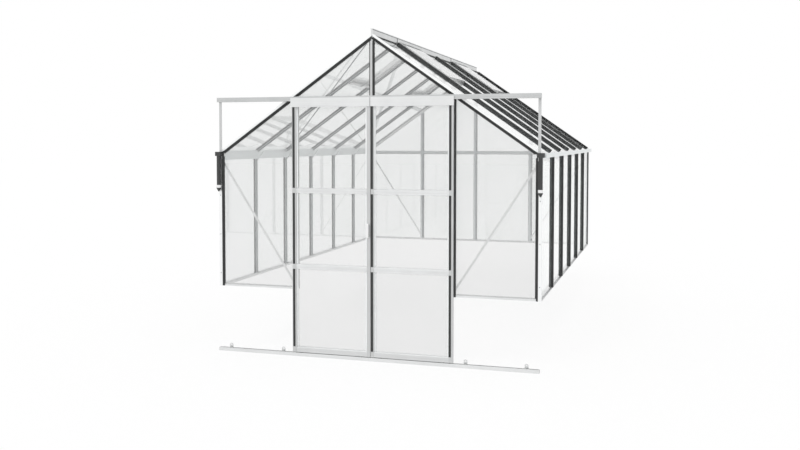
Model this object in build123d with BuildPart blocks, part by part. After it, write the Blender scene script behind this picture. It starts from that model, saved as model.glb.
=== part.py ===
"""Glass greenhouse for a low wall: aluminium glazing bars, black glazing beads, sliding double door.

X runs across the gable, Y runs from the front gable (negative) to the rear gable, Z is up.
The origin lies in the middle of the underside of the rear sill, the face that sits on the wall.
"""
import math
import os

from build123d import *

os.makedirs("parts", exist_ok=True)

# Building
bays_wide = 4
bays_long = 6
bay = 735.0
wall_height = 1200.0
roof_pitch = 35.0
eave_rise = 30.0

# Sills
side_sill_depth = 50.0
gable_sill_depth = 38.0
sill_height = 22.0
sill_ledge = 8.0
gable_ledge = 16.0
sill_wall = 2.5
nose = 17.0

# Glazing bars of the side walls and the roof
bar_flange = 34.0
bar_depth = 18.0
bar_foot = 12.0
rib_width = 6.0
rib_height = 15.0
bar_wall = 2.5

# Glazing bars of the gables
gable_flange = 40.0
gable_depth = 30.0
gable_foot = 16.0
gable_rib_width = 13.0
foot_height = 6.0
corner_leg = 27.0
corner_lap = 12.0

# Glass with its bedding, and the black beads of the gables
glass = 4.0
bedding = 0.5
glass_gap = 1.0
bead_width = 17.0
bead_height = 13.0
bead_lip = 4.0
bead_top = 6.0
bead_gap = 0.3
gasket_width = 8.0
gasket_height = 8.0

# Black capping that covers the bars of the side walls and the roof
cap_width = 28.0
cap_height = 20.0
cap_chamfer = 5.0
cap_groove = 2.0
cap_slack = 0.5

# Eave gutter
gutter_reach = 50.0
gutter_height = 39.0
gutter_wall = 2.5
gutter_curl = 8.0
gutter_inset = 30.0
gutter_apron = 35.0
eave_overhang = 6.0

# Ridge
ridge_half = 8.0
ridge_depth = 62.0
crest_height = 60.0
crest_wall = 3.0
crest_lip = 24.0
crest_lip_height = 5.0

# Doorway
jamb_width = 28.0
jamb_depth = 35.0
jamb_wall = 2.5
jamb_flange = 20.0
head_lap_over_leaf = 4.0
head_face = 26.0
head_lap = 14.0
cross_bar_drop = 14.0

# Door leaves
leaf_gap = 27.0
leaf_depth = 26.0
leaf_width = 741.0
leaf_rise = 490.0
leaf_bottom = -562.0
leaf_wall = 2.5
leaf_flange = 14.0
leaf_glass_inset = 9.0
rail_recess = 3.0
rail_crown = 8.0
left_outer_stile = 40.0
meeting_stile = 28.0
latch_stile = 33.0
outer_stile = 38.0
top_rail_depth = 48.0
bottom_rail_depth = 50.0
mid_rail_depth = 46.0
mid_rail_levels = (214.0, 898.0)
cover_width = 20.0
cover_thickness = 3.0
left_cover_inset = 6.0
meeting_gap = 5.0

# Fascia of a leaf, in front of the running rail
fascia_gap = 5.0
fascia_thickness = 2.5
fascia_drop = 12.0
fascia_overhang = 6.0

# Handle
handle_length = 124.0
handle_width = 18.0
handle_reach = 32.0
handle_height = 556.0
handle_bar = 8.0

# Running rail, its end posts and the bottom guide
rail_overhang = 10.0
rail_depth = 44.0
rail_height = 40.0
rail_clearance = 5.0
rail_wall = 2.5
rail_slot = 12.0
rail_groove = 1.5
rail_groove_height = 7.0
rail_groove_level = 13.0
rail_spacer_width = 30.0
rail_spacer_height = 14.0
rail_spacers = (190.0, 560.0)
post_width = 25.0
post_thickness = 4.0
post_gap = 1.0
post_lap = 28.0
post_pad = 14.0
guide_depth = 26.0
guide_height = 32.0
guide_clearance = 5.0
lug_width = 34.0
lug_reach = 10.0
lug_thickness = 3.0
lug_rise = 70.0
lug_hole = 5.0
lug_jamb_gap = 110.0
lug_end_inset = 112.0

# Rollers and guide shoes
wheel_radius = 13.0
wheel_width = 8.0
wheel_inset = 110.0
running_gap = 0.5
hanger_radius = 3.0
shoe_length = 60.0
shoe_drop = 22.0

# Roof vents
vent_length = 600.0
vent_rise = 34.0
vent_frame = 30.0
vent_rebate = 6.0
vent_lip = 5.0
vent_bays = (1, 4)
vent_clearance = 2.0
trimmer_depth = 24.0

# Bracing
brace_width = 20.0
brace_thickness = 3.0
brace_low = 30.0
brace_drop = 50.0
brace_run = 1450.0

# Rainwater pipes
pipe_radius = 18.0
pipe_wall = 2.0
pipe_offset = 7.0
pipe_drop = 264.0
head_box_width = 56.0
head_box_depth = 38.0
head_box_height = 38.0
spigot_width = 18.0
collar_radius = 21.0
collar_height = 26.0
spout_height = 34.0
spout_radius = 23.0
spout_tip = 5.0

# Worked out from the sizes above
half_width = bays_wide * bay / 2
length = bays_long * bay
glass_face = bedding + glass
rear_y = gable_sill_depth / 2 - glass_face
front_y = rear_y - length
slope = math.radians(roof_pitch)
eave_z = wall_height + eave_rise
apex_z = eave_z + half_width * math.tan(slope)
slope_length = half_width / math.cos(slope)
glass_edge = bar_wall + glass_gap / 2
pane_half_gap = rib_width / 2 + glass_gap
gable_half_gap = gable_rib_width / 2 + glass_gap
leaf_top = wall_height + leaf_rise
rail_half = half_width + rail_overhang
rail_bottom = leaf_top + rail_clearance
head_bottom = leaf_top - head_lap_over_leaf
cross_bar_height = wall_height - cross_bar_drop
pipe_x = half_width + pipe_offset
pipe_bottom = wall_height - pipe_drop
leaf_back = front_y - leaf_gap
leaf_front = leaf_back - leaf_depth
leaf_mid = leaf_back - leaf_depth / 2
leg_drop = corner_leg / math.cos(slope)
edge_drop = glass_edge / math.cos(slope)


def slope_height(x):
    """Height of the glazing plane of the roof at a distance x from the ridge line."""
    return apex_z - abs(x) * math.tan(slope)


def run_plane(start, along, outward):
    """Plane for the section of a straight member: Z along it, Y towards the outside."""
    along = Vector(*along)
    outward = Vector(*outward)
    return Plane(origin=start, x_dir=outward.cross(along), z_dir=along)


def bar_section(flange, depth, foot, rib):
    """Glazing bar: flange under the glass, rib between the panes, web and foot inside."""
    with BuildLine() as outline:
        Polyline(
            (0, rib_height),
            (rib / 2, rib_height),
            (rib / 2, 0),
            (flange / 2, 0),
            (flange / 2, -bar_wall),
            (bar_wall / 2, -bar_wall),
            (bar_wall / 2, foot_height - depth),
            (foot / 2, foot_height - depth),
            (foot / 2, -depth),
            (0, -depth),
        )
        mirror(about=Plane.YZ)
    make_face(outline.edges())


def edge_section(lap):
    """Corner angle: two legs behind the panes and a nose; lap is its reach over the gable's edge."""
    with BuildLine() as outline:
        Polyline(
            (0, -corner_leg),
            (0, -lap),
            (nose, -lap),
            (nose, nose),
            (-bar_wall, nose),
            (-bar_wall, 0),
            (-corner_leg, 0),
            (-corner_leg, -bar_wall),
            (-bar_wall, -bar_wall),
            (-bar_wall, -corner_leg),
            close=True,
        )
    make_face(outline.edges())


def bead_section(width, height):
    """Glazing bead on the outer face of a pane, its tall edge against the rib or nose."""
    with BuildLine() as outline:
        Polyline(
            (0, 0),
            (width, 0),
            (width, bead_lip),
            (bead_top, height),
            (0, height),
            close=True,
        )
    make_face(outline.edges())


def bead_run(plane, *points, width=bead_width, height=bead_height):
    """Bead along the edge of a pane, mitred at its turns; the pane lies on the left of it."""
    corners = [plane.from_local_coords((x, y, glass_face + bead_gap)) for x, y in points]
    along = corners[1] - corners[0]
    with BuildLine(mode=Mode.PRIVATE) as route:
        Polyline(*corners)
    with BuildSketch(Plane(origin=corners[0], x_dir=plane.z_dir.cross(along), z_dir=along)) as section:
        bead_section(width, height)
    sweep(section.sketch, path=route.wire(), transition=Transition.RIGHT)


def gasket_run(plane, *points):
    """Slim black gasket along the edge of a pane."""
    bead_run(plane, *points, width=gasket_width, height=gasket_height)


def bar_run(start, along, outward, amount):
    """One bar of a side wall or the roof."""
    with BuildSketch(run_plane(start, along, outward)) as section:
        bar_section(bar_flange, bar_depth, bar_foot, rib_width)
    extrude(section.sketch, amount=amount)


def gable_bar_run(start, along, outward, amount):
    """One bar of a gable."""
    with BuildSketch(run_plane(start, along, outward)) as section:
        bar_section(gable_flange, gable_depth, gable_foot, gable_rib_width)
    extrude(section.sketch, amount=amount)


def cap_run(start, along, outward, amount):
    """Black capping snapped over the rib of a bar, with a groove along its crown."""
    base = glass_face + bead_gap
    crown = base + cap_height
    slot = rib_width / 2 + cap_slack
    slot_top = rib_height + cap_slack
    with BuildSketch(run_plane(start, along, outward)) as section:
        with BuildLine() as outline:
            Polyline(
                (0, slot_top),
                (slot, slot_top),
                (slot, base),
                (cap_width / 2, base),
                (cap_width / 2, crown - cap_chamfer),
                (cap_width / 2 - cap_chamfer, crown),
                (cap_groove, crown),
                (0, crown - cap_groove),
            )
            mirror(about=Plane.YZ)
        make_face(outline.edges())
    extrude(section.sketch, amount=amount)


def pane(plane, points):
    """One sheet of glass, bedded on the plane of the flanges."""
    with BuildSketch(plane.offset(bedding)) as sheet:
        with BuildLine():
            Polyline(*points, close=True)
        make_face()
    extrude(sheet.sketch, amount=glass)


def save(builder, label):
    """Name a finished piece and write it."""
    builder.part.label = label
    export_step(builder.part, f"parts/{label}.step")


# Planes of the four walls and the two roof slopes; each local Z points outwards
front_wall = Plane(origin=(0, front_y, 0), x_dir=(1, 0, 0), z_dir=(0, -1, 0))
rear_wall = Plane(origin=(0, rear_y, 0), x_dir=(-1, 0, 0), z_dir=(0, 1, 0))
right_wall = Plane(origin=(half_width, front_y, 0), x_dir=(0, 1, 0), z_dir=(1, 0, 0))
slope_down = (math.cos(slope), 0, -math.sin(slope))
slope_up = (-math.cos(slope), 0, math.sin(slope))
slope_out = (math.sin(slope), 0, math.cos(slope))
right_roof = Plane(origin=(0, front_y, apex_z), x_dir=slope_down, z_dir=slope_out)

# Sills
side_sill_back = side_sill_depth - nose
gable_sill_back = gable_sill_depth - glass_face


def sill_section(back, front, ledge):
    """Hollow sill: flat underside, ledge for the glass and a drip edge outside it."""
    with BuildLine() as outline:
        Polyline(
            (-back, 0),
            (front, 0),
            (front, ledge - bar_wall),
            (front / 2, ledge),
            (0, ledge),
            (0, sill_height),
            (-back, sill_height),
            close=True,
        )
    make_face(outline.edges())
    with Locations((-back / 2, sill_height / 2)):
        Rectangle(back - 2 * sill_wall, sill_height - 2 * sill_wall, mode=Mode.SUBTRACT)


with BuildPart() as side_sills:
    with BuildSketch(Plane(origin=(half_width, front_y, 0), x_dir=(1, 0, 0), z_dir=(0, -1, 0))):
        sill_section(side_sill_back, nose, sill_ledge)
    extrude(amount=-length)
    mirror(about=Plane.YZ)
save(side_sills, "side_sills")

gable_sill_end = half_width - side_sill_back
gable_lip_end = half_width - corner_lap
with BuildPart() as rear_sill:
    with BuildSketch(Plane(origin=(-gable_sill_end, rear_y, 0), x_dir=(0, 1, 0), z_dir=(1, 0, 0))):
        sill_section(gable_sill_back, glass_face, gable_ledge)
    extrude(amount=2 * gable_sill_end)
    with BuildSketch(Plane(origin=(-gable_lip_end, rear_y, 0), x_dir=(0, 1, 0), z_dir=(1, 0, 0))):
        with Locations((glass_face / 2, gable_ledge / 2)):
            Rectangle(glass_face, gable_ledge)
    extrude(amount=2 * gable_lip_end)
save(rear_sill, "rear_sill")

jamb_x = bay

with BuildPart() as front_sill:
    with BuildSketch(Plane(origin=(jamb_x, front_y, 0), x_dir=(0, -1, 0), z_dir=(-1, 0, 0))):
        sill_section(gable_sill_back, glass_face, gable_ledge)
    extrude(amount=-(gable_sill_end - jamb_x))
    with BuildSketch(Plane(origin=(jamb_x, front_y, 0), x_dir=(0, -1, 0), z_dir=(-1, 0, 0))):
        with Locations((glass_face / 2, gable_ledge / 2)):
            Rectangle(glass_face, gable_ledge)
    extrude(amount=-(gable_lip_end - jamb_x))
    mirror(about=Plane.YZ)
save(front_sill, "front_sill")

# Corner posts; their noses run down over the ends of the side sills
with BuildPart() as corner_posts:
    for corner_y, y_out in ((front_y, -1), (rear_y, 1)):
        post_foot_point = (half_width, corner_y, sill_height)
        post_plane = Plane(origin=post_foot_point, x_dir=(0, y_out, 0), z_dir=(0, 0, -y_out))
        with BuildSketch(post_plane):
            edge_section(corner_lap)
        extrude(amount=-y_out * (wall_height - sill_height))
        with BuildSketch(post_plane):
            with Locations((nose / 2, (nose - corner_lap) / 2)):
                Rectangle(nose, nose + corner_lap)
        extrude(amount=y_out * sill_height)
    mirror(about=Plane.YZ)
save(corner_posts, "corner_posts")

# Side wall bars, glass and beads
bar_ys = [front_y + k * bay for k in range(1, bays_long)]
glass_top = wall_height - glass_gap
glass_bottom = sill_ledge + bedding

with BuildPart() as side_wall_bars:
    for bar_y in bar_ys:
        bar_run((half_width, bar_y, sill_height), (0, 0, 1), (1, 0, 0), wall_height - sill_height)
    mirror(about=Plane.YZ)
save(side_wall_bars, "side_wall_bars")


def bay_edges(index, count):
    """Start and end of a pane along a row of bays; the end panes run up to the noses."""
    start = index * bay + (glass_edge if index == 0 else pane_half_gap)
    end = (index + 1) * bay - (glass_edge if index == count - 1 else pane_half_gap)
    return start, end


bead_bottom = sill_ledge + bead_gap
bead_end = wall_height - bead_lip

with BuildPart() as right_wall_glass:
    for index in range(bays_long):
        start, end = bay_edges(index, bays_long)
        pane(right_wall, [(start, glass_bottom), (end, glass_bottom), (end, glass_top), (start, glass_top)])
save(right_wall_glass, "right_wall_glass")

with BuildPart() as left_wall_glass:
    mirror(right_wall_glass.part, about=Plane.YZ)
save(left_wall_glass, "left_wall_glass")

with BuildPart() as wall_beads:
    for bar_y in bar_ys:
        cap_run((half_width, bar_y, bead_bottom), (0, 0, 1), (1, 0, 0), bead_end - bead_bottom)
    first, last = bay_edges(0, bays_long)[0], bay_edges(bays_long - 1, bays_long)[1]
    gasket_run(right_wall, (first, bead_end), (first, bead_bottom))
    gasket_run(right_wall, (last, bead_bottom), (last, bead_end))
    mirror(about=Plane.YZ)
save(wall_beads, "wall_beads")

# Ridge: a deep beam under the apex and a tall lipped cap over it
with BuildPart() as ridge_beam:
    with BuildSketch(Plane(origin=(0, front_y, apex_z), x_dir=(1, 0, 0), z_dir=(0, -1, 0))):
        with BuildLine():
            Polyline(
                (0, 0),
                (ridge_half, -ridge_half * math.tan(slope)),
                (ridge_half, -ridge_depth),
                (0, -ridge_depth),
            )
            mirror(about=Plane.YZ)
        make_face()
        with Locations((0, (-ridge_depth - ridge_half) / 2)):
            Rectangle(2 * (ridge_half - bar_wall), ridge_depth - 3 * ridge_half, mode=Mode.SUBTRACT)
    extrude(amount=-length)
save(ridge_beam, "ridge_beam")

with BuildPart() as ridge_cap:
    with BuildSketch(Plane(origin=(0, front_y - nose, apex_z), x_dir=(1, 0, 0), z_dir=(0, -1, 0))):
        with BuildLine():
            Polyline(
                (0, 0),
                (ridge_half, -ridge_half * math.tan(slope)),
                (ridge_half, crest_height - crest_lip_height),
                (crest_lip / 2, crest_height - crest_lip_height),
                (crest_lip / 2, crest_height),
                (0, crest_height),
            )
            mirror(about=Plane.YZ)
        make_face()
        with Locations((0, crest_height / 2)):
            Rectangle(2 * (ridge_half - crest_wall), crest_height - 3 * crest_wall, mode=Mode.SUBTRACT)
    extrude(amount=-(length + 2 * nose))
    for end_y in (front_y - nose, rear_y + nose - crest_wall):
        with BuildSketch(Plane(origin=(0, end_y, apex_z), x_dir=(1, 0, 0), z_dir=(0, -1, 0))):
            with Locations((0, crest_height / 2)):
                Rectangle(2 * (ridge_half - crest_wall), crest_height - 3 * crest_wall)
        extrude(amount=-crest_wall)
save(ridge_cap, "ridge_cap")

# Gutters: the lip carries the lower edge of the roof glass, the trough stands outside the wall
gutter_wall_x = half_width - gutter_inset

with BuildPart() as right_gutter:
    with BuildSketch(Plane(origin=(0, front_y, 0), x_dir=(1, 0, 0), z_dir=(0, -1, 0))):
        with BuildLine() as gutter_line:
            Polyline(
                (half_width, eave_z),
                (gutter_wall_x, slope_height(gutter_wall_x)),
                (gutter_wall_x, wall_height),
                (half_width + gutter_reach, wall_height),
                (half_width + gutter_reach, wall_height + gutter_height),
                (half_width + gutter_reach - gutter_curl, wall_height + gutter_height),
            )
            offset(amount=gutter_wall, side=Side.LEFT, kind=Kind.INTERSECTION)
        make_face()
        with Locations((gutter_wall_x + gutter_wall / 2, wall_height - gutter_apron / 2)):
            Rectangle(gutter_wall, gutter_apron)
    extrude(amount=-length)
    for end_y in (front_y, rear_y - gutter_wall):
        with BuildSketch(Plane.XZ.offset(-end_y)):
            with Locations((half_width + gutter_reach / 2, wall_height + gutter_height / 2)):
                Rectangle(gutter_reach - gutter_wall, gutter_height - gutter_wall)
        extrude(amount=-gutter_wall)
save(right_gutter, "right_gutter")

with BuildPart() as left_gutter:
    mirror(right_gutter.part, about=Plane.YZ)
save(left_gutter, "left_gutter")

# Roof bars between the ridge and the gutters
with BuildPart() as roof_bars:
    for bar_y in bar_ys:
        bar_run((half_width, bar_y, eave_z), slope_up, slope_out, slope_length)
    split(bisect_by=Plane.YZ.offset(ridge_half), keep=Keep.TOP)
    split(bisect_by=Plane.YZ.offset(gutter_wall_x), keep=Keep.BOTTOM)
    mirror(about=Plane.YZ)
save(roof_bars, "roof_bars")

# Sloping gable bars; only their nose runs on over the gutter
overhang_x = half_width + eave_overhang * math.cos(slope)
with BuildPart() as gable_rafters:
    for corner_y, y_out in ((front_y, -1), (rear_y, 1)):
        verge_plane = Plane(
            origin=(half_width, corner_y, eave_z),
            x_dir=(0, y_out, 0),
            z_dir=slope_up if y_out < 0 else slope_down,
        )
        with BuildSketch(verge_plane):
            edge_section(bar_wall)
        extrude(amount=-y_out * slope_length)
    split(bisect_by=Plane.YZ.offset(gutter_wall_x), keep=Keep.BOTTOM)
    for corner_y, y_out in ((front_y, -1), (rear_y, 1)):
        overhang_point = (overhang_x, corner_y, slope_height(overhang_x))
        with BuildSketch(Plane(origin=overhang_point, x_dir=(0, y_out, 0), z_dir=slope_up)):
            with Locations((nose / 2, -y_out * nose / 2)):
                Rectangle(nose, nose)
        extrude(amount=eave_overhang + (gutter_inset + nose) / math.cos(slope))
    split(bisect_by=Plane.YZ.offset(ridge_half), keep=Keep.TOP)
    mirror(about=Plane.YZ)
save(gable_rafters, "gable_rafters")

# Roof glass; two bays of each slope keep their upper part free for a vent
roof_glass_top = (ridge_half + glass_gap) / math.cos(slope)
roof_glass_end = slope_length + eave_overhang
bead_run_end = slope_length - gutter_inset / 2

with BuildPart() as right_roof_glass:
    for index in range(bays_long):
        top = vent_length + glass_gap if index in vent_bays else roof_glass_top
        start, end = bay_edges(index, bays_long)
        pane(right_roof, [(top, start), (roof_glass_end, start), (roof_glass_end, end), (top, end)])
save(right_roof_glass, "right_roof_glass")

with BuildPart() as left_roof_glass:
    mirror(right_roof_glass.part, about=Plane.YZ)
save(left_roof_glass, "left_roof_glass")

with BuildPart() as roof_beads:
    for bar_y in bar_ys:
        start = right_roof.from_local_coords((bead_run_end, bar_y - front_y, 0))
        cap_run(start, slope_up, slope_out, bead_run_end - roof_glass_top)
    first, last = bay_edges(0, bays_long)[0], bay_edges(bays_long - 1, bays_long)[1]
    gasket_run(right_roof, (roof_glass_top, first), (bead_run_end, first))
    gasket_run(right_roof, (bead_run_end, last), (roof_glass_top, last))
    for index in range(bays_long):
        if index not in vent_bays:
            low = index * bay + cap_width / 2 + glass_gap
            high = (index + 1) * bay - cap_width / 2 - glass_gap
            gasket_run(right_roof, (roof_glass_top, high), (roof_glass_top, low))
    mirror(about=Plane.YZ)
save(roof_beads, "roof_beads")

# Roof vents: a frame between two bars, hung at the ridge and closed on a trimmer bar
vent_top = roof_glass_top
vent_side = cap_width / 2 + vent_clearance


def vent_corners(index, inset):
    """Corners of a rectangle inset from the outline of the vent in one bay."""
    low = index * bay + vent_side + inset
    high = (index + 1) * bay - vent_side - inset
    return [
        (vent_top + inset, low),
        (vent_length - inset, low),
        (vent_length - inset, high),
        (vent_top + inset, high),
    ]


with BuildPart() as vent_frames:
    for index in vent_bays:
        with BuildSketch(right_roof):
            with BuildLine():
                Polyline(*vent_corners(index, 0), close=True)
            make_face()
            with BuildLine():
                Polyline(*vent_corners(index, vent_frame), close=True)
            make_face(mode=Mode.SUBTRACT)
        extrude(amount=vent_rise - vent_rebate)
        with BuildSketch(right_roof.offset(vent_rise - vent_rebate)):
            with BuildLine():
                Polyline(*vent_corners(index, 0), close=True)
            make_face()
            with BuildLine():
                Polyline(*vent_corners(index, vent_lip), close=True)
            make_face(mode=Mode.SUBTRACT)
        extrude(amount=vent_rebate)
    mirror(about=Plane.YZ)
save(vent_frames, "vent_frames")

with BuildPart() as vent_glass:
    for index in vent_bays:
        pane(right_roof.offset(vent_rise - vent_rebate), vent_corners(index, vent_lip + glass_gap))
    mirror(about=Plane.YZ)
save(vent_glass, "vent_glass")

with BuildPart() as vent_trimmers:
    for index in vent_bays:
        start = right_roof.from_local_coords((vent_length, index * bay + bar_flange / 2, 0))
        with BuildSketch(run_plane(start, (0, 1, 0), slope_out)):
            with Locations((0, -trimmer_depth / 2)):
                Rectangle(trimmer_depth, trimmer_depth)
                Rectangle(trimmer_depth - 2 * bar_wall, trimmer_depth - 2 * bar_wall, mode=Mode.SUBTRACT)
        extrude(amount=bay - bar_flange)
    mirror(about=Plane.YZ)
save(vent_trimmers, "vent_trimmers")

# Upright bars of the gables, cut off under the sloping bars
leg_cut = Plane(origin=(half_width, 0, eave_z - leg_drop), z_dir=slope_out)
upright = (0, 0, 1)
front_out = (0, -1, 0)
rear_out = (0, 1, 0)
head_top = head_bottom + head_face + head_lap
beam_bottom = apex_z - ridge_depth


def centre_rib(y, outward):
    """The rib of a centre bar, running on in front of the ridge beam."""
    with BuildSketch(run_plane((0, y, beam_bottom), upright, outward)) as section:
        with Locations((0, rib_height / 2)):
            Rectangle(gable_rib_width, rib_height)
    extrude(section.sketch, amount=ridge_depth - leg_drop)


with BuildPart() as rear_gable_bars:
    gable_bar_run((bay, rear_y, sill_height), upright, rear_out, apex_z - sill_height)
    split(bisect_by=leg_cut, keep=Keep.BOTTOM)
    mirror(about=Plane.YZ)
    gable_bar_run((0, rear_y, sill_height), upright, rear_out, beam_bottom - sill_height)
    centre_rib(rear_y, rear_out)
save(rear_gable_bars, "rear_gable_bars")

cross_start = bay + gable_flange / 2
cross_end = gutter_wall_x - glass_gap
with BuildPart() as rear_cross_bars:
    gable_bar_run((gable_flange / 2, rear_y, cross_bar_height), (1, 0, 0), rear_out, bay - gable_flange)
    gable_bar_run((cross_start, rear_y, cross_bar_height), (1, 0, 0), rear_out, cross_end - cross_start)
    with BuildSketch(run_plane((cross_start, rear_y, cross_bar_height), (1, 0, 0), rear_out)) as rib_end:
        with Locations((0, rib_height / 2)):
            Rectangle(gable_rib_width, rib_height)
    extrude(rib_end.sketch, amount=half_width - corner_lap - cross_start)
    mirror(about=Plane.YZ)
save(rear_cross_bars, "rear_cross_bars")

with BuildPart() as front_centre_bar:
    gable_bar_run((0, front_y, head_top), upright, front_out, beam_bottom - head_top)
    centre_rib(front_y, front_out)
save(front_centre_bar, "front_centre_bar")

# Doorway: two jambs on the wall line and a head between them
with BuildPart() as door_jambs:
    with BuildSketch(Plane.XY):
        with Locations((jamb_x - jamb_width / 2, front_y + jamb_depth / 2)):
            Rectangle(jamb_width, jamb_depth)
            Rectangle(jamb_width - 2 * jamb_wall, jamb_depth - 2 * jamb_wall, mode=Mode.SUBTRACT)
    extrude(amount=apex_z)
    with BuildSketch(Plane.XY.offset(sill_height)):
        with Locations((jamb_x + jamb_flange / 2, front_y + jamb_wall / 2)):
            Rectangle(jamb_flange, jamb_wall)
    extrude(amount=apex_z - sill_height)
    split(bisect_by=leg_cut, keep=Keep.BOTTOM)
    with BuildSketch(Plane.XY):
        with Locations((jamb_x - jamb_width / 2, front_y - rib_height / 2)):
            Rectangle(jamb_width, rib_height)
            Rectangle(jamb_width - 2 * jamb_wall, rib_height - 2 * jamb_wall, mode=Mode.SUBTRACT)
    extrude(amount=head_bottom + head_face)
    mirror(about=Plane.YZ)
save(door_jambs, "door_jambs")

head_half = jamb_x - jamb_width
with BuildPart() as door_head:
    with BuildSketch(Plane(origin=(-head_half, front_y, head_bottom), x_dir=(0, 1, 0), z_dir=(1, 0, 0))):
        with Locations((jamb_depth / 2, (head_face + head_lap) / 2)):
            Rectangle(jamb_depth, head_face + head_lap)
            Rectangle(jamb_depth - 2 * jamb_wall, head_face + head_lap - 2 * jamb_wall, mode=Mode.SUBTRACT)
        with Locations((-rib_height / 2, head_face / 2)):
            Rectangle(rib_height, head_face)
            Rectangle(rib_height - 2 * jamb_wall, head_face - 2 * jamb_wall, mode=Mode.SUBTRACT)
    extrude(amount=2 * head_half)
save(door_head, "door_head")

# Gable glass and its mitred beads
top_glass_bottom = head_bottom + head_face + glass_gap
side_pane_start = jamb_x + glass_gap
side_pane_end = half_width - corner_lap - glass_gap / 2
top_pane_end = jamb_x - 2 * glass_gap
gable_glass_bottom = gable_ledge + bedding


def pane_top(x):
    """Top edge of a gable pane under the sloping bar."""
    return slope_height(x) - edge_drop


def right_gable_panes():
    """Outlines of the panes at the right of the front gable, each starting at its lower left."""
    side = [
        (side_pane_start, gable_glass_bottom),
        (side_pane_end, gable_glass_bottom),
        (side_pane_end, pane_top(side_pane_end)),
        (side_pane_start, pane_top(side_pane_start)),
    ]
    over_door = [
        (gable_half_gap, top_glass_bottom),
        (top_pane_end, top_glass_bottom),
        (top_pane_end, pane_top(top_pane_end)),
        (gable_half_gap, pane_top(gable_half_gap)),
    ]
    return side, over_door


with BuildPart() as front_gable_glass:
    for outline in right_gable_panes():
        pane(front_wall, outline)
    mirror(about=Plane.YZ)
save(front_gable_glass, "front_gable_glass")

with BuildPart() as front_gable_beads:
    side, over_door = right_gable_panes()
    bead_run(front_wall, (side[1][0], bead_gap), side[2], side[3], (side[0][0], bead_gap))
    bead_run(front_wall, over_door[2], over_door[3], over_door[0])
    mirror(about=Plane.YZ)
save(front_gable_beads, "front_gable_beads")


def rear_gable_panes():
    """Outlines of the panes in half of the rear gable, below and above the cross bar."""
    low = gable_glass_bottom
    low_top = cross_bar_height - gable_half_gap
    high = cross_bar_height + gable_half_gap
    outlines = []
    for start, end in ((gable_half_gap, bay - gable_half_gap), (bay + gable_half_gap, side_pane_end)):
        outlines.append([(start, low), (end, low), (end, low_top), (start, low_top)])
        outlines.append([(start, high), (end, high), (end, pane_top(end)), (start, pane_top(start))])
    return outlines


with BuildPart() as rear_gable_glass:
    for outline in rear_gable_panes():
        pane(rear_wall, outline)
    mirror(about=Plane.YZ)
save(rear_gable_glass, "rear_gable_glass")

with BuildPart() as rear_gable_beads:
    for outline in rear_gable_panes():
        foot = bead_gap if outline[0][1] == gable_glass_bottom else outline[0][1]
        bead_run(rear_wall, (outline[1][0], foot), outline[2], outline[3], (outline[0][0], foot))
    mirror(about=Plane.YZ)
save(rear_gable_beads, "rear_gable_beads")

# Flat braces behind the glass of the outer gable bays, and under the roof bars at the front
brace_start = jamb_x + glass_edge
brace_end = half_width - 2 * bar_wall
brace_top = wall_height - brace_drop
gable_brace_half = brace_width / 2 * math.hypot(brace_end - brace_start, brace_top - brace_low)
gable_brace_half /= brace_end - brace_start

with BuildPart() as gable_braces:
    for brace_y in (front_y + bar_wall, rear_y - bar_wall - brace_thickness):
        with BuildSketch(Plane.XZ.offset(-brace_y)):
            with BuildLine():
                Polyline(
                    (brace_start, brace_low),
                    (brace_end, brace_top),
                    (brace_end, brace_top + 2 * gable_brace_half),
                    (brace_start, brace_low + 2 * gable_brace_half),
                    close=True,
                )
            make_face()
        extrude(amount=-brace_thickness)
    mirror(about=Plane.YZ)
save(gable_braces, "gable_braces")

roof_brace_slant = math.atan2(brace_run - bar_wall, slope_length - ridge_depth)
with BuildPart() as roof_braces:
    with BuildSketch(right_roof.offset(-bar_depth - brace_thickness)):
        with Locations(((slope_length + ridge_depth) / 2, (brace_run + bar_wall) / 2)):
            Rectangle(2 * brace_run, brace_width, rotation=math.degrees(roof_brace_slant))
    extrude(amount=brace_thickness)
    split(bisect_by=Plane.XZ.offset(-front_y - bar_wall), keep=Keep.BOTTOM)
    split(bisect_by=Plane.YZ.offset(gutter_wall_x), keep=Keep.BOTTOM)
    mirror(about=Plane.YZ)
save(roof_braces, "roof_braces")

# Running rail for the doors: a slotted box, closed at its ends and held off the door head
rail_back = front_y - nose - post_gap
rail_mid = rail_back - rail_depth / 2
rail_front = rail_back - rail_depth
rail_top = rail_bottom + rail_height

with BuildPart() as running_rail:
    with BuildSketch(Plane(origin=(-rail_half, rail_mid, rail_bottom), x_dir=(0, 1, 0), z_dir=(1, 0, 0))):
        with Locations((0, rail_height / 2)):
            Rectangle(rail_depth, rail_height)
            Rectangle(rail_depth - 2 * rail_wall, rail_height - 2 * rail_wall, mode=Mode.SUBTRACT)
        with Locations((0, rail_wall / 2)):
            Rectangle(rail_slot, rail_wall, mode=Mode.SUBTRACT)
        with Locations(((rail_groove - rail_depth) / 2, rail_groove_level)):
            Rectangle(rail_groove, rail_groove_height, mode=Mode.SUBTRACT)
    extrude(amount=2 * rail_half)
    for end_x in (-rail_half, rail_half - rail_wall):
        with BuildSketch(Plane(origin=(end_x, rail_mid, rail_bottom), x_dir=(0, 1, 0), z_dir=(1, 0, 0))):
            with Locations((0, rail_height / 2)):
                Rectangle(rail_depth - rail_wall, rail_height - rail_wall)
        extrude(amount=rail_wall)
    spacer_reach = front_y - rib_height - rail_back
    for spacer_x in rail_spacers:
        for side in (-1, 1):
            with BuildSketch(Plane.XZ.offset(-rail_back)):
                with Locations((side * spacer_x, rail_bottom + rail_spacer_height / 2)):
                    Rectangle(rail_spacer_width, rail_spacer_height)
            extrude(amount=-spacer_reach)
save(running_rail, "running_rail")

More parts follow.
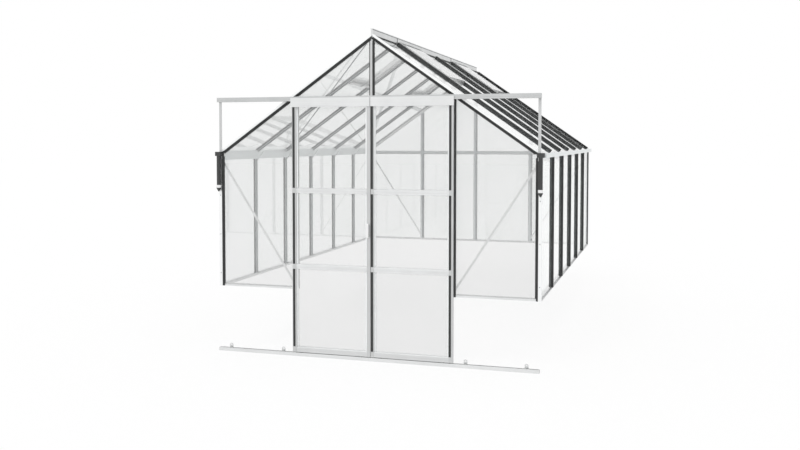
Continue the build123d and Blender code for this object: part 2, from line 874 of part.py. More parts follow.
# Posts under the ends of the rail, each with a pad against the corner post
post_foot = wall_height - post_lap
with BuildPart() as rail_end_posts:
    post_x = rail_half - post_width / 2 - rail_wall
    with BuildSketch(Plane.XY.offset(post_foot)):
        with Locations((post_x, rail_back - post_thickness / 2)):
            Rectangle(post_width, post_thickness)
    extrude(amount=rail_bottom - post_foot)
    with BuildSketch(Plane.XY.offset(post_foot)):
        with Locations((half_width + post_pad / 2, rail_back + post_gap / 2)):
            Rectangle(post_pad, post_gap)
    extrude(amount=wall_height - post_foot)
    mirror(about=Plane.YZ)
save(rail_end_posts, "rail_end_posts")

# Bottom guide: an upright channel with eyed lugs behind it
guide_top = leaf_bottom - guide_clearance
guide_bottom = guide_top - guide_height
guide_back = leaf_mid + guide_depth / 2
lug_positions = (jamb_x + lug_jamb_gap, rail_half - lug_end_inset)

with BuildPart() as bottom_guide:
    with BuildSketch(Plane(origin=(-rail_half, leaf_mid, guide_bottom), x_dir=(0, 1, 0), z_dir=(1, 0, 0))):
        with Locations((0, guide_height / 2)):
            Rectangle(guide_depth, guide_height)
        with Locations((0, guide_height / 2 + rail_wall)):
            Rectangle(guide_depth - 2 * rail_wall, guide_height, mode=Mode.SUBTRACT)
    extrude(amount=2 * rail_half)
    for lug_x in lug_positions:
        for side in (-1, 1):
            with BuildSketch(Plane.XY.offset(guide_bottom)):
                with Locations((side * lug_x, guide_back + lug_reach / 2)):
                    Rectangle(lug_width, lug_reach)
            extrude(amount=lug_thickness)
            with BuildSketch(Plane.XZ.offset(-(guide_back + lug_reach - lug_thickness))):
                with Locations((side * lug_x, guide_bottom + (lug_rise - lug_width / 2) / 2)):
                    Rectangle(lug_width, lug_rise - lug_width / 2)
                with Locations((side * lug_x, guide_bottom + lug_rise - lug_width / 2)):
                    Circle(lug_width / 2)
                    Circle(lug_hole, mode=Mode.SUBTRACT)
            extrude(amount=-lug_thickness)
save(bottom_guide, "bottom_guide")

# Rainwater pipes at the front ends of the gutters
head_box_back = rail_back - post_thickness
pipe_y = head_box_back - head_box_depth / 2
head_box_bottom = wall_height + gutter_wall
head_box_top = head_box_bottom + head_box_height
spigot_x = half_width + nose + 2 * glass_gap + spigot_width / 2

with BuildPart() as downpipes:
    with BuildSketch(Plane.XY.offset(head_box_bottom)):
        with Locations((pipe_x, pipe_y)):
            RectangleRounded(head_box_width, head_box_depth, bead_lip)
    extrude(amount=head_box_height)
    with BuildSketch(Plane.XZ.offset(-head_box_back)):
        with Locations((spigot_x, head_box_bottom + head_box_height / 2)):
            Rectangle(spigot_width, head_box_height - 2 * pipe_wall)
    extrude(amount=-(front_y - head_box_back))
    with BuildSketch(Plane.XY.offset(pipe_bottom)):
        with Locations((pipe_x, pipe_y)):
            Circle(pipe_radius)
            Circle(pipe_radius - pipe_wall, mode=Mode.SUBTRACT)
    extrude(amount=head_box_bottom - pipe_bottom)
    mirror(about=Plane.YZ)
save(downpipes, "downpipes")

collar_bottom = pipe_bottom - collar_height
with BuildPart() as pipe_collars:
    with BuildSketch(Plane.XY.offset(collar_bottom)):
        with Locations((pipe_x, pipe_y)):
            Circle(collar_radius)
            Circle(pipe_radius - pipe_wall, mode=Mode.SUBTRACT)
    extrude(amount=collar_height)
    mirror(about=Plane.YZ)
save(pipe_collars, "pipe_collars")

with BuildPart() as pipe_spouts:
    with BuildSketch(Plane.XY.offset(collar_bottom)):
        with Locations((pipe_x, pipe_y)):
            Circle(spout_radius)
    with BuildSketch(Plane.XY.offset(collar_bottom - spout_height)):
        with Locations((pipe_x, pipe_y)):
            Circle(spout_tip)
    loft()
    with BuildSketch(Plane.XY.offset(collar_bottom)):
        with Locations((pipe_x, pipe_y)):
            Circle(spout_tip - pipe_wall)
    extrude(amount=-spout_height, mode=Mode.SUBTRACT)
    mirror(about=Plane.YZ)
save(pipe_spouts, "pipe_spouts")

# Door leaves
leaf_height = leaf_top - leaf_bottom
glass_back = leaf_back - leaf_glass_inset
rails = [(leaf_bottom, leaf_bottom + bottom_rail_depth)]
rails += [(level - mid_rail_depth / 2, level + mid_rail_depth / 2) for level in mid_rail_levels]
rails += [(leaf_top - top_rail_depth, leaf_top)]
openings = [(low[1], high[0]) for low, high in zip(rails, rails[1:])]
wheel_z = rail_bottom + rail_wall + running_gap + wheel_radius
wheel_half_track = (rail_depth - 2 * rail_wall) / 2 - 2 * running_gap


def leaf_stile(edge, side, width):
    """Hollow stile of a leaf with a glazing flange beside each pane; side points into the leaf."""
    with BuildSketch(Plane.XY.offset(leaf_bottom)) as box:
        with Locations((edge + side * width / 2, leaf_mid)):
            Rectangle(width, leaf_depth)
            Rectangle(width - 2 * leaf_wall, leaf_depth - 2 * leaf_wall, mode=Mode.SUBTRACT)
    extrude(box.sketch, amount=leaf_height)
    for low, high in openings:
        with BuildSketch(Plane.XY.offset(low)) as flange:
            with Locations((edge + side * (width + leaf_flange / 2), glass_back + leaf_wall / 2)):
                Rectangle(leaf_flange, leaf_wall)
        extrude(flange.sketch, amount=high - low)


def rail_profile(depth, height):
    """Hollow mid or bottom rail of a leaf: bevelled crown, lower half set back."""
    with BuildLine() as outline:
        Polyline(
            (0, 0),
            (rail_recess - depth, 0),
            (rail_recess - depth, height / 2),
            (-depth, height / 2),
            (-depth, height - rail_crown),
            (rail_crown - depth, height),
            (0, height),
            close=True,
        )
    make_face(outline.edges())
    hollow_height = height - rail_crown - 2 * leaf_wall
    with Locations((-depth / 2, (height - rail_crown) / 2)):
        Rectangle(depth - 2 * (leaf_wall + rail_recess), hollow_height, mode=Mode.SUBTRACT)


fascia_back = rail_front - fascia_gap
fascia_reach = leaf_front - fascia_back + fascia_thickness
fascia_top = rail_top - fascia_drop
right_cover = leaf_width - meeting_gap / 2 - outer_stile
left_stiles = (left_outer_stile, latch_stile)
right_stiles = (meeting_stile, outer_stile)
left_door = ("left_door", -leaf_width, *left_stiles, (left_cover_inset,), (fascia_overhang, 0))
right_door = ("right_door", meeting_gap / 2, *right_stiles, (0, right_cover), (0, fascia_overhang))

for name, leaf_left, left_stile, right_stile, covers, overhangs in (left_door, right_door):
    leaf_right = leaf_left + leaf_width - meeting_gap / 2
    inner_left = leaf_left + left_stile
    inner_right = leaf_right - right_stile

    with BuildPart() as stiles:
        leaf_stile(leaf_left, 1, left_stile)
        leaf_stile(leaf_right, -1, right_stile)
    save(stiles, f"{name}_stiles")

    with BuildPart() as cross_rails:
        for low, high in rails[:-1]:
            rail_start = (inner_left, leaf_back, low)
            with BuildSketch(Plane(origin=rail_start, x_dir=(0, 1, 0), z_dir=(1, 0, 0))) as profile:
                rail_profile(leaf_depth, high - low)
            extrude(profile.sketch, amount=inner_right - inner_left)
        low, high = rails[-1]
        with BuildSketch(Plane(origin=(inner_left, leaf_back, low), x_dir=(0, 1, 0), z_dir=(1, 0, 0))):
            with Locations((-leaf_depth / 2, top_rail_depth / 2)):
                Rectangle(leaf_depth, top_rail_depth)
                Rectangle(leaf_depth - 2 * leaf_wall, top_rail_depth - 2 * leaf_wall, mode=Mode.SUBTRACT)
        extrude(amount=inner_right - inner_left)
        fascia_left = leaf_left - overhangs[0]
        with BuildSketch(Plane(origin=(fascia_left, leaf_front, low), x_dir=(0, 1, 0), z_dir=(1, 0, 0))):
            with Locations((-fascia_reach / 2, top_rail_depth / 2)):
                Rectangle(fascia_reach, top_rail_depth)
                Rectangle(fascia_reach - 2 * leaf_wall, top_rail_depth - 2 * leaf_wall, mode=Mode.SUBTRACT)
            with Locations((fascia_thickness / 2 - fascia_reach, (fascia_top - low) / 2)):
                Rectangle(fascia_thickness, fascia_top - low)
        extrude(amount=leaf_right + overhangs[1] - fascia_left)
    save(cross_rails, f"{name}_rails")

    with BuildPart() as panes:
        for low, high in openings:
            pane(
                Plane(origin=(0, glass_back, 0), x_dir=(1, 0, 0), z_dir=(0, -1, 0)),
                [
                    (inner_left + glass_gap, low + glass_gap),
                    (inner_right - glass_gap, low + glass_gap),
                    (inner_right - glass_gap, high - glass_gap),
                    (inner_left + glass_gap, high - glass_gap),
                ],
            )
    save(panes, f"{name}_glass")

    with BuildPart() as cover_strips:
        for offset_x in covers:
            for low, high in openings:
                with BuildSketch(Plane.XZ.offset(-leaf_front)):
                    with Locations((leaf_left + offset_x + cover_width / 2, (low + high) / 2)):
                        Rectangle(cover_width, high - low)
                extrude(amount=cover_thickness)
    save(cover_strips, f"{name}_strips")

    with BuildPart() as trolleys:
        for wheel_x in (leaf_left + wheel_inset, leaf_right - wheel_inset):
            axle_plane = Plane(origin=(wheel_x, leaf_mid, wheel_z), x_dir=(1, 0, 0), z_dir=(0, -1, 0))
            with BuildSketch(axle_plane):
                Circle(hanger_radius + running_gap)
            extrude(amount=wheel_half_track, both=True)
            for wheel_side in (-1, 1):
                with BuildSketch(axle_plane.offset(wheel_side * (wheel_half_track - wheel_width / 2))):
                    Circle(wheel_radius)
                extrude(amount=wheel_width / 2, both=True)
            with BuildSketch(Plane.XY.offset(leaf_top)):
                with Locations((wheel_x, leaf_mid)):
                    Circle(hanger_radius)
            extrude(amount=wheel_z - leaf_top)
    save(trolleys, f"{name}_trolleys")

    with BuildPart() as guide_shoes:
        for shoe_x in (leaf_left + shoe_length, leaf_right - shoe_length):
            with BuildSketch(Plane.XY.offset(leaf_bottom - shoe_drop)):
                with Locations((shoe_x, leaf_mid)):
                    Rectangle(shoe_length, guide_depth - 2 * rail_wall - 2 * running_gap)
            extrude(amount=shoe_drop)
    save(guide_shoes, f"{name}_shoes")

# Bow handle on the meeting stile of the left leaf
handle_x = -meeting_gap / 2 - latch_stile / 2
with BuildPart() as door_handle:
    low_foot = (handle_x, leaf_front, handle_height - handle_length / 2 + handle_bar / 2)
    high_foot = (handle_x, leaf_front, handle_height + handle_length / 2 - handle_bar / 2)
    with BuildLine():
        FilletPolyline(
            low_foot,
            (handle_x, leaf_front - handle_reach, low_foot[2]),
            (handle_x, leaf_front - handle_reach, high_foot[2]),
            high_foot,
            radius=handle_bar,
        )
    with BuildSketch(Plane(origin=low_foot, x_dir=(1, 0, 0), z_dir=(0, -1, 0))):
        Rectangle(handle_width, handle_bar)
    sweep()
save(door_handle, "door_handle")
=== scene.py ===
import bpy
import math
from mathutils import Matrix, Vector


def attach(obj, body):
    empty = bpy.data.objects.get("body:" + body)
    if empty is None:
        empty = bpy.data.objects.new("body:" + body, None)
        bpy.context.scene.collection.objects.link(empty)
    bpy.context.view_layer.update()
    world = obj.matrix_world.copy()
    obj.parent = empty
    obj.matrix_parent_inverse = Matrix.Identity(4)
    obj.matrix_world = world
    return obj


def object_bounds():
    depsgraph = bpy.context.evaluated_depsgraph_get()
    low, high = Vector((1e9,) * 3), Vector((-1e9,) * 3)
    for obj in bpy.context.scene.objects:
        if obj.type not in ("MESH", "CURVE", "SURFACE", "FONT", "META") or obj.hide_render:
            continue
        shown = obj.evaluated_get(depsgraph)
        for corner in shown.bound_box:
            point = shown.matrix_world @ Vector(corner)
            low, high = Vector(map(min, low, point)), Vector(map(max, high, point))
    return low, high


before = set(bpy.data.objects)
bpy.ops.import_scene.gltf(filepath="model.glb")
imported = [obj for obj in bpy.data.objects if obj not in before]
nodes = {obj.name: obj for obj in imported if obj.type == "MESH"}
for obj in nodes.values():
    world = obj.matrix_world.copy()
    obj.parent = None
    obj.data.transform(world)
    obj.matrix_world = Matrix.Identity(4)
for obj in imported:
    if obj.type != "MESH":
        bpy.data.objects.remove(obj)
cadLow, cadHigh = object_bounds()
print("frame loaded:", len(nodes), "nodes")

# camera, light and floor
studio = {
    "eye": (2.5134, -12.0358, 1.3430),
    "turn": (math.pi / 2 - 0.0434, 0.0, 0.2990),
    "lens": 41.23,
    "shift": (0.01296, -0.05566),
    "fillStrength": 0.80,
    "sunStrength": 0.9,
    "sunTurn": (math.radians(38), math.radians(-22), math.radians(20)),
    "sunSpread": math.radians(35),
    "floorSize": 120.0,
    "floorGap": 0.001,
    "floorWhite": 0.86,
    "sensorWidth": 36.0,
    "clipEnd": 400.0,
}


def linearColour(hexText):
    parts = [int(hexText[i:i + 2], 16) / 255 for i in (1, 3, 5)]
    return tuple(p / 12.92 if p <= 0.04045 else ((p + 0.055) / 1.055) ** 2.4 for p in parts) + (1.0,)


def addNode(tree, kind, settings=None, inputs=None):
    node = tree.nodes.new(kind)
    for name, value in (settings or {}).items():
        setattr(node, name, value)
    for name, value in (inputs or {}).items():
        if isinstance(value, bpy.types.NodeSocket):
            tree.links.new(value, node.inputs[name])
        else:
            node.inputs[name].default_value = value
    return node


def newMaterial(name):
    material = bpy.data.materials.new(name)
    material.use_nodes = True
    material.node_tree.nodes.clear()
    return material, material.node_tree


def seenDirectly(tree):
    path = addNode(tree, "ShaderNodeLightPath")
    first = addNode(tree, "ShaderNodeMath", {"operation": "MAXIMUM"},
                    {0: path.outputs["Is Camera Ray"], 1: path.outputs["Is Glossy Ray"]})
    return addNode(tree, "ShaderNodeMath", {"operation": "MAXIMUM"},
                   {0: first.outputs[0], 1: path.outputs["Is Transmission Ray"]}).outputs[0]


cameraData = bpy.data.cameras.new("camera")
cameraData.lens = studio["lens"]
cameraData.sensor_width = studio["sensorWidth"]
cameraData.shift_x, cameraData.shift_y = studio["shift"]
cameraData.clip_end = studio["clipEnd"]
camera = bpy.data.objects.new("camera", cameraData)
camera.location = studio["eye"]
camera.rotation_euler = studio["turn"]
bpy.context.scene.collection.objects.link(camera)
bpy.context.scene.camera = camera
bpy.context.scene.view_settings.view_transform = "Standard"

world = bpy.data.worlds.new("studioWorld")
bpy.context.scene.world = world
world.use_nodes = True
worldTree = world.node_tree
worldTree.nodes.clear()
strength = addNode(worldTree, "ShaderNodeMapRange", {},
                   {"Value": seenDirectly(worldTree), "To Min": studio["fillStrength"], "To Max": 1.0})
sky = addNode(worldTree, "ShaderNodeBackground", {}, {"Color": (1, 1, 1, 1), "Strength": strength.outputs[0]})
addNode(worldTree, "ShaderNodeOutputWorld", {}, {"Surface": sky.outputs[0]})

sunData = bpy.data.lights.new("softSun", "SUN")
sunData.energy = studio["sunStrength"]
sunData.angle = studio["sunSpread"]
sun = bpy.data.objects.new("softSun", sunData)
sun.rotation_euler = studio["sunTurn"]
bpy.context.scene.collection.objects.link(sun)

floorMaterial, floorTree = newMaterial("studioFloor")
floorPaint = addNode(floorTree, "ShaderNodeBsdfDiffuse", {}, {"Color": (1, 1, 1, 1)})
floorGlow = addNode(floorTree, "ShaderNodeEmission", {}, {"Color": (1, 1, 1, 1), "Strength": 1.0})
floorShare = addNode(floorTree, "ShaderNodeMath", {"operation": "MULTIPLY"},
                     {0: seenDirectly(floorTree), 1: studio["floorWhite"]})
floorMix = addNode(floorTree, "ShaderNodeMixShader", {},
                   {0: floorShare.outputs[0], 1: floorPaint.outputs[0], 2: floorGlow.outputs[0]})
addNode(floorTree, "ShaderNodeOutputMaterial", {}, {"Surface": floorMix.outputs[0]})
bpy.ops.object.select_all(action="DESELECT")
bpy.ops.mesh.primitive_plane_add(size=studio["floorSize"], location=(0, 0, cadLow[2] - studio["floorGap"]))
floor = bpy.context.object
floor.name = "floor"
bpy.ops.object.transform_apply(location=True, rotation=True, scale=True)
floor.data.materials.append(floorMaterial)
print("camera, light and floor set")


# materials
def toneRamp(tree, factor, darkAt, dark, paleAt, pale):
    ramp = addNode(tree, "ShaderNodeValToRGB", {}, {"Fac": factor})
    for element, position, hexText in zip(ramp.color_ramp.elements, (darkAt, paleAt), (dark, pale)):
        element.position = position
        element.color = linearColour(hexText)
    return ramp.outputs[0]


def paintShade(tree, place, colour, shadeMark):
    # paints shade on the part of a bar that the dictionary picks, by where it faces or by where it lies,
    # multiplying a painted shade tone into its colour
    if shadeMark["by"] == "Normal":
        facing = addNode(tree, "ShaderNodeNewGeometry").outputs["Normal"]
        along = addNode(tree, "ShaderNodeSeparateXYZ", {}, {0: facing}).outputs[shadeMark["axis"]]
        size = addNode(tree, "ShaderNodeMath", {"operation": "ABSOLUTE"}, {0: along}).outputs[0]
        mask = addNode(tree, "ShaderNodeMath", {"operation": "GREATER_THAN"}, {0: size, 1: shadeMark["limit"]})
    else:
        along = addNode(tree, "ShaderNodeSeparateXYZ", {}, {0: place}).outputs[shadeMark["axis"]]
        mask = addNode(tree, "ShaderNodeMath", {"operation": "LESS_THAN"}, {0: along, 1: shadeMark["limit"]})
    shade = addNode(tree, "ShaderNodeMix", {"data_type": "RGBA", "blend_type": "MULTIPLY"},
                    {0: mask.outputs[0], 6: colour, 7: linearColour(shadeMark["tone"])})
    return shade.outputs[2]


def aluminium(name, pale, dark, grain, rough=0.42, metal=0.9, shadeMark=None):
    # mill-finished extrusion: long faint die lines along the bar and a slow change of tone
    material, tree = newMaterial(name)
    place = addNode(tree, "ShaderNodeTexCoord").outputs["Object"]
    lines = addNode(tree, "ShaderNodeMapping", {}, {"Vector": place, "Scale": grain})
    die = addNode(tree, "ShaderNodeTexNoise", {}, {"Vector": lines.outputs[0], "Scale": 1.0, "Detail": 2.0})
    cloud = addNode(tree, "ShaderNodeTexNoise", {}, {"Vector": place, "Scale": 6.0, "Detail": 3.0})
    tone = addNode(tree, "ShaderNodeMix", {"data_type": "FLOAT"},
                   {0: 0.45, 2: cloud.outputs["Fac"], 3: die.outputs["Fac"]})
    colour = toneRamp(tree, tone.outputs[0], 0.3, dark, 0.7, pale)
    sheen = addNode(tree, "ShaderNodeMapRange", {},
                    {"Value": die.outputs["Fac"], "To Min": rough - 0.06, "To Max": rough + 0.08})
    bump = addNode(tree, "ShaderNodeBump", {},
                   {"Height": die.outputs["Fac"], "Strength": 0.15, "Distance": 0.0004})
    # painted shade: the chosen faces or parts are multiplied darker
    if shadeMark:
        colour = paintShade(tree, place, colour, shadeMark)
    surface = addNode(tree, "ShaderNodeBsdfPrincipled", {},
                      {"Base Color": colour, "Roughness": sheen.outputs[0],
                       "Normal": bump.outputs[0], "Metallic": metal})
    addNode(tree, "ShaderNodeOutputMaterial", {}, {"Surface": surface.outputs[0]})
    return material


def plastic(name, pale, dark, grit, rough, bumpSize=0.0002):
    # moulded or extruded PVC: matt skin with a fine grit and slightly greyer patches
    material, tree = newMaterial(name)
    place = addNode(tree, "ShaderNodeTexCoord").outputs["Object"]
    fine = addNode(tree, "ShaderNodeTexNoise", {}, {"Vector": place, "Scale": grit, "Detail": 2.0})
    cloud = addNode(tree, "ShaderNodeTexNoise", {}, {"Vector": place, "Scale": 9.0, "Detail": 2.0})
    colour = toneRamp(tree, cloud.outputs["Fac"], 0.35, dark, 0.65, pale)
    sheen = addNode(tree, "ShaderNodeMapRange", {},
                    {"Value": fine.outputs["Fac"], "To Min": rough - 0.08, "To Max": rough + 0.08})
    bump = addNode(tree, "ShaderNodeBump", {},
                   {"Height": fine.outputs["Fac"], "Strength": 0.3, "Distance": bumpSize})
    surface = addNode(tree, "ShaderNodeBsdfPrincipled", {},
                      {"Base Color": colour, "Roughness": sheen.outputs[0], "Normal": bump.outputs[0]})
    addNode(tree, "ShaderNodeOutputMaterial", {}, {"Surface": surface.outputs[0]})
    return material


def glass(name, pale, dark, film, through):
    # horticultural glass: clear float, or toughened glass with a thin film that greys what lies behind
    material, tree = newMaterial(name)
    place = addNode(tree, "ShaderNodeTexCoord").outputs["Object"]
    cloud = addNode(tree, "ShaderNodeTexNoise", {}, {"Vector": place, "Scale": 1.6, "Detail": 1.0})
    colour = toneRamp(tree, cloud.outputs["Fac"], 0.35, dark, 0.65, pale)
    surface = addNode(tree, "ShaderNodeBsdfPrincipled", {},
                      {"Base Color": colour, "Roughness": 0.0, "IOR": 1.5,
                       "Transmission Weight": through, "Alpha": film})
    addNode(tree, "ShaderNodeOutputMaterial", {}, {"Surface": surface.outputs[0]})
    return material


# die lines are about 2 mm apart on the real bar and drawn 5 mm apart, stretched along its length
acrossGrain = (1.5, 180.0, 180.0)
longGrain = (180.0, 1.5, 180.0)
uprightGrain = (180.0, 180.0, 1.5)
slopingGrain = (40.0, 180.0, 40.0)
strapGrain = (40.0, 40.0, 40.0)
steelGrain = (120.0, 120.0, 120.0)
# one aluminium in lit and shaded copies, as painted light and shade: pale lit copies for parts facing the
# light, darker mill copies across, along and upright, and the running track darker still
litX = aluminium("litAluminiumAcross", "#F9FAFA", "#F0F1F1", acrossGrain)
litZ = aluminium("litAluminiumUpright", "#F9FAFA", "#F0F1F1", uprightGrain)
alongX = aluminium("millAluminiumAcross", "#E8E9E9", "#DCDDDD", acrossGrain)
alongY = aluminium("millAluminiumLong", "#E0E1E1", "#D4D5D5", longGrain)
alongZ = aluminium("millAluminiumUpright", "#D0D1D1", "#C4C5C5", uprightGrain)
trackX = aluminium("trackAluminium", "#CFD0D0", "#C2C4C4", acrossGrain)
# painted shade: web sides, post sides and mullion sides darkened by the way they face, and the low rail of a
# door and the foot of a cross bar darkened by where they lie
webShade = {"by": "Normal", "axis": 1, "limit": 0.7, "tone": "#9A9E9E"}
postShade = {"by": "Normal", "axis": 1, "limit": 0.7, "tone": "#C0C4C4"}
mullionShade = {"by": "Normal", "axis": 0, "limit": 0.7, "tone": "#7A7D7E"}
lowRailShade = {"by": "Object", "axis": 2, "limit": -0.5125, "tone": "#F2F2F2"}
railMetal = aluminium("railAluminium", "#E8E9E9", "#DCDDDD", acrossGrain, shadeMark=lowRailShade)
footShade = {"by": "Object", "axis": 1, "limit": 0.002, "tone": "#D8DCDC"}
# more copies of the same aluminium, each toned for how lit its part looks: painted light and shade, with the
# roof brace straps painted darkest as shade inside the house
postMetal = aluminium("postAluminium", "#F7F9F9", "#EEF1F1", uprightGrain, metal=0.3, shadeMark=postShade)
rafterMetal = aluminium("rafterAluminium", "#F4F6F6", "#EAEDED", slopingGrain, metal=0.3, shadeMark=webShade)
mullionMetal = aluminium("mullionAluminium", "#E4E8E9", "#D8DDDE", uprightGrain, shadeMark=mullionShade)
crossMetal = aluminium("crossBarAluminium", "#FAFCFC", "#F4F6F6", acrossGrain, metal=0.2, shadeMark=footShade)
strapMetal = aluminium("strapAluminium", "#909494", "#808484", strapGrain)
eaveMetal = aluminium("eaveAluminium", "#EEF1F1", "#E4E8E8", longGrain)
doorGlass = glass("toughenedGlass", "#D0D0D0", "#CCCCCC", 0.225, 0.0)
clearGlass = glass("floatGlass", "#FBFCFC", "#F8FAF9", 1.0, 1.0)
bead = plastic("blackGlazingBead", "#2C2D2D", "#242525", 900.0, 0.5)
capping = plastic("blackCapping", "#3D3E3E", "#333434", 900.0, 0.5)
pipe = plastic("blackPipePvc", "#3A3B3B", "#303131", 900.0, 0.42)
collar = plastic("whiteCollarPlastic", "#EDEDED", "#E2E2E2", 700.0, 0.4)
shoe = plastic("nylonShoe", "#3A3A3A", "#2E2E2E", 700.0, 0.5)
enamel = plastic("whitePowderCoat", "#F1F1F1", "#E6E6E6", 1200.0, 0.35)
steel = aluminium("zincPlatedSteel", "#B9BBBD", "#9EA1A3", steelGrain, 0.35, 1.0)

finishes = {
    "side_sills": alongY, "rear_sill": alongX, "front_sill": alongX, "corner_posts": litZ,
    "side_wall_bars": postMetal, "right_wall_glass": clearGlass, "left_wall_glass": clearGlass,
    "wall_beads": capping, "ridge_beam": alongY, "ridge_cap": alongY,
    "right_gutter": eaveMetal, "left_gutter": eaveMetal, "roof_bars": rafterMetal, "gable_rafters": litX,
    "right_roof_glass": clearGlass, "left_roof_glass": clearGlass,
    "roof_beads": capping, "vent_frames": alongY, "vent_glass": clearGlass, "vent_trimmers": alongY,
    "rear_gable_bars": mullionMetal, "rear_cross_bars": crossMetal,
    "front_centre_bar": alongZ, "door_jambs": alongZ, "door_head": alongX,
    "front_gable_glass": doorGlass, "front_gable_beads": bead,
    "rear_gable_glass": clearGlass, "rear_gable_beads": bead,
    "gable_braces": litX, "roof_braces": strapMetal,
    "running_rail": trackX, "rail_end_posts": alongZ, "bottom_guide": alongX, "downpipes": pipe,
    "pipe_collars": collar, "pipe_spouts": pipe, "door_handle": enamel,
}
for side in ("left_door", "right_door"):
    finishes[side + "_stiles"] = alongZ
    finishes[side + "_rails"] = railMetal
    finishes[side + "_glass"] = doorGlass
    finishes[side + "_strips"] = bead
    finishes[side + "_trolleys"] = steel
    finishes[side + "_shoes"] = shoe
for name, material in finishes.items():
    nodes[name].data.materials.clear()
    nodes[name].data.materials.append(material)
print("materials set:", len(finishes), "of", len(nodes), "nodes")


# detail pieces that the solids leave out, placed from the same sizes as the solids
slope = math.radians(35.0)
apex = 2.25931
frontFace = -4.3955
bayStep = 0.735
bayCount = 6
roofNormal = (math.sin(slope), 0.0, math.cos(slope))


def startPiece(name):
    bpy.ops.object.select_all(action="DESELECT")
    piece = bpy.data.objects.new(name, bpy.data.meshes.new(name))
    bpy.context.scene.collection.objects.link(piece)
    bpy.context.view_layer.objects.active = piece
    piece.select_set(True)
    bpy.ops.object.mode_set(mode="EDIT")
    return piece


def finishPiece(piece, material, body):
    bpy.ops.mesh.select_all(action="SELECT")
    bpy.ops.mesh.normals_make_consistent(inside=False)
    bpy.ops.object.mode_set(mode="OBJECT")
    piece.data.materials.append(material)
    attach(piece, body)
    print("piece:", piece.name, len(piece.data.polygons), "faces")


def blocksPiece(name, blocks, material, body, bevelWidth):
    # one mesh of bevelled bars, each given by its middle, its size and its turn about Y
    piece = startPiece(name)
    for middle, size, turn in blocks:
        bpy.ops.mesh.select_all(action="DESELECT")
        bpy.ops.mesh.primitive_cube_add(size=1.0, location=middle, rotation=(0.0, turn, 0.0), scale=size)
        bpy.ops.mesh.bevel(offset=bevelWidth, segments=2)
    finishPiece(piece, material, body)


def screwsPiece(name, places, look, material, body):
    # hexagon heads with a washer under each, standing out towards the front
    piece = startPiece(name)
    top = look["plate"] + look["tall"]
    for x, y, z in places:
        for radius, low, high, corners in ((look["washer"], 0.0, look["plate"], look["washerCorners"]),
                                           (look["head"], look["plate"], top, look["headCorners"])):
            bpy.ops.mesh.select_all(action="DESELECT")
            bpy.ops.mesh.primitive_cylinder_add(vertices=corners, radius=radius, depth=high - low,
                                                location=(x, y - (low + high) / 2, z),
                                                rotation=(math.pi / 2, 0.0, 0.0))
            bpy.ops.mesh.bevel(offset=min(high - low, radius) * look["round"], segments=2)
    finishPiece(piece, material, body)


# pale silicone seals round the door panes
sealLook = {"width": 0.013, "thick": 0.0015, "lift": 0.0003, "side": 0.0005, "ends": 0.002, "round": 0.0004}
seal = plastic("paleSiliconeSeal", "#FAFBFB", "#F2F4F4", 600.0, 0.45)
doorPaneFace = -4.4360
sealY = doorPaneFace - sealLook["lift"] - sealLook["thick"] / 2
doorOpenings = ((-0.512, 0.191), (0.237, 0.875), (0.921, 1.642))
for body, left, right in (("left_door", -0.701, -0.0355), ("right_door", 0.0305, 0.703)):
    blocks = []
    for low, high in doorOpenings:
        for edge, side in ((left, 1), (right, -1)):
            middle = (edge + side * (sealLook["width"] / 2 + sealLook["side"]), sealY, (low + high) / 2)
            sealSize = (sealLook["width"], sealLook["thick"], high - low - sealLook["ends"])
            blocks.append((middle, sealSize, 0.0))
    blocksPiece(body + "_seals", blocks, seal, body, sealLook["round"])

# black gaskets beside the beads of the front gable
gasketLook = {
    "width": 0.008, "thick": 0.004, "lift": 0.0003, "round": 0.0008, "pane": 0.0045, "below": 0.024,
    "cornerX": 1.4365, "cornerZ": 0.6100, "cornerTall": 1.176, "runs": ((0.030, 0.698), (0.768, 1.428)),
}
gasketY = frontFace - gasketLook["pane"] - gasketLook["lift"] - gasketLook["thick"] / 2
blocks = []
for side in (-1, 1):
    blocks.append(((side * gasketLook["cornerX"], gasketY, gasketLook["cornerZ"]),
                   (gasketLook["width"], gasketLook["thick"], gasketLook["cornerTall"]), 0.0))
    for inner, outer in gasketLook["runs"]:
        middle = (inner + outer) / 2
        height = apex - middle * math.tan(slope) - gasketLook["below"] / math.cos(slope)
        reach = (outer - inner) / math.cos(slope)
        blocks.append(((side * middle, gasketY, height),
                       (reach, gasketLook["thick"], gasketLook["width"]), side * slope))
blocksPiece("front_gable_gaskets", blocks, bead, "house", gasketLook["round"])

# aluminium cover over the middle bar of the front gable; the left bead shows beside it
coverLook = {
    "left": -0.0135, "right": 0.0065, "thick": 0.0025, "low": 1.737, "high": 2.212,
    "ahead": 0.0181, "round": 0.0008,
}
coverMiddle = ((coverLook["left"] + coverLook["right"]) / 2,
               frontFace - coverLook["ahead"] - coverLook["thick"] / 2,
               (coverLook["low"] + coverLook["high"]) / 2)
coverSize = (coverLook["right"] - coverLook["left"], coverLook["thick"], coverLook["high"] - coverLook["low"])
blocksPiece("centre_bar_cover", [(coverMiddle, coverSize, 0.0)], alongZ, "house",
            coverLook["round"])

# dark joint straps on both sides of the ridge cap
strapLook = {
    "width": 0.015, "thick": 0.0012, "tall": 0.052, "side": 0.0087, "above": 0.0285, "bays": (1, 4),
    "round": 0.0003,
}
strapSize = (strapLook["thick"], strapLook["width"], strapLook["tall"])
blocks = []
for step in strapLook["bays"]:
    for side in (-1, 1):
        place = (side * strapLook["side"], frontFace + step * bayStep, apex + strapLook["above"])
        blocks.append((place, strapSize, 0.0))
blocksPiece("ridge_joint_straps", blocks, bead, "house", strapLook["round"])

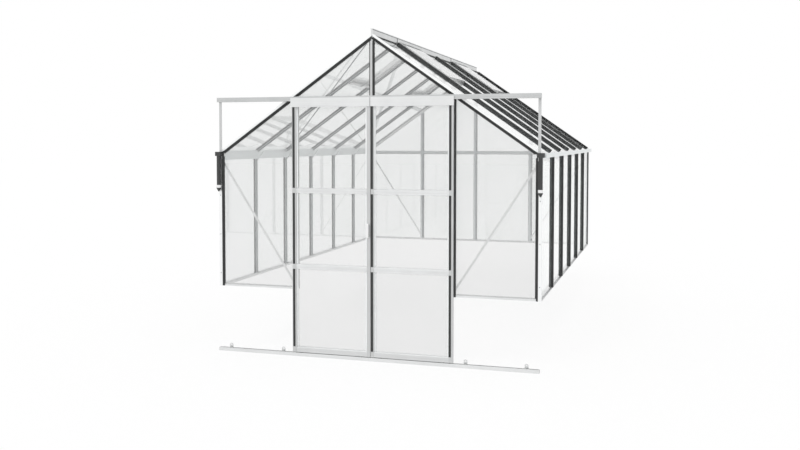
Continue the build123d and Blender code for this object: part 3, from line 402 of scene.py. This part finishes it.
# a dark strip under the lip of the ridge cap: painted shadow of the lip
lipShadowLook = {
    "side": 0.0085, "middleY": -2.1905, "above": 0.0515, "thick": 0.0008, "long": 4.434, "tall": 0.005,
    "round": 0.0002,
}
# dark grey tone of the painted shadow under the lip
lipShadowTone = aluminium("ridgeLipShadowAluminium", "#A2A5A5", "#94979A", longGrain)
lipShadowSize = (lipShadowLook["thick"], lipShadowLook["long"], lipShadowLook["tall"])
blocks = []
for side in (-1, 1):
    blocks.append(((side * lipShadowLook["side"], lipShadowLook["middleY"], apex + lipShadowLook["above"]), lipShadowSize, 0.0))
blocksPiece("ridge_lip_shadows", blocks, lipShadowTone, "house", lipShadowLook["round"])

# knee brackets between the side wall bars and the roof bars, and clips at the feet of the wall bars
kneeLook = {
    "reach": 0.110, "width": 0.010, "thick": 0.002, "turn": math.radians(54), "x": 1.4180, "z": 1.1900,
    "ahead": 0.007, "round": 0.0004,
}
clipLook = {"x": 1.4470, "z": 0.0245, "size": (0.014, 0.034, 0.004), "round": 0.0006}
kneeSize = (kneeLook["reach"], kneeLook["thick"], kneeLook["width"])
knees = []
clips = []
for step in range(1, bayCount):
    y = frontFace + step * bayStep
    for side in (-1, 1):
        knees.append(((side * kneeLook["x"], y - kneeLook["ahead"], kneeLook["z"]), kneeSize,
                      side * kneeLook["turn"]))
        clips.append(((side * clipLook["x"], y, clipLook["z"]), clipLook["size"], 0.0))
blocksPiece("knee_brackets", knees, litX, "house", kneeLook["round"])
clipTone = aluminium("clipSteel", "#8C9090", "#7A7E7E", steelGrain, 0.4, 1.0)
blocksPiece("post_clips", clips, clipTone, "house", clipLook["round"])

# casement stays under the roof vents, each with its pin plate
stayLook = {
    "reach": 0.240, "width": 0.014, "thick": 0.003, "sink": 0.034, "low": 0.600, "plate": 0.036,
    "plateSink": 0.0285, "bays": (1, 4), "round": 0.0005,
}
stayParts = ((stayLook["low"] - stayLook["reach"] / 2, stayLook["reach"], stayLook["sink"]),
             (stayLook["low"], stayLook["plate"], stayLook["plateSink"]))
stays = []
for index in stayLook["bays"]:
    y = frontFace + (index + 0.5) * bayStep
    for side in (-1, 1):
        for along, length, depth in stayParts:
            x = along * math.cos(slope) - depth * roofNormal[0]
            z = apex - along * math.sin(slope) - depth * roofNormal[2]
            stays.append(((side * x, y, z), (length, stayLook["width"], stayLook["thick"]), side * slope))
blocksPiece("vent_stays", stays, clipTone, "house", stayLook["round"])

# black capping over the rear verge, as on the roof bars in front of it
vergeLook = {
    "y": -0.0005, "width": 0.024, "thick": 0.0115, "height": 0.0190, "inner": 0.030, "outer": 1.462,
    "round": 0.0012,
}
vergeMiddle = (vergeLook["inner"] + vergeLook["outer"]) / 2
vergeReach = (vergeLook["outer"] - vergeLook["inner"]) / math.cos(slope)
vergeSize = (vergeReach, vergeLook["width"], vergeLook["thick"])
vergeX = vergeMiddle + vergeLook["height"] * roofNormal[0]
vergeZ = apex - vergeMiddle * math.tan(slope) + vergeLook["height"] * roofNormal[2]
blocks = [((side * vergeX, vergeLook["y"], vergeZ), vergeSize, side * slope) for side in (-1, 1)]
blocksPiece("rear_verge_capping", blocks, capping, "house", vergeLook["round"])

# screws of the corner posts
screwLook = {
    "washer": 0.0042, "head": 0.0031, "plate": 0.0010, "tall": 0.0026, "washerCorners": 24, "headCorners": 6,
    "round": 0.18, "x": 1.4722, "y": -4.4125, "heights": (0.120, 0.480, 0.840, 1.130),
}
screwTone = aluminium("zincSteel", "#A6A9AA", "#939697", (150.0, 150.0, 150.0), 0.35, 1.0)
places = [(side * screwLook["x"], screwLook["y"], z) for side in (-1, 1) for z in screwLook["heights"]]
screwsPiece("post_bolts", places, screwLook, screwTone, "house")
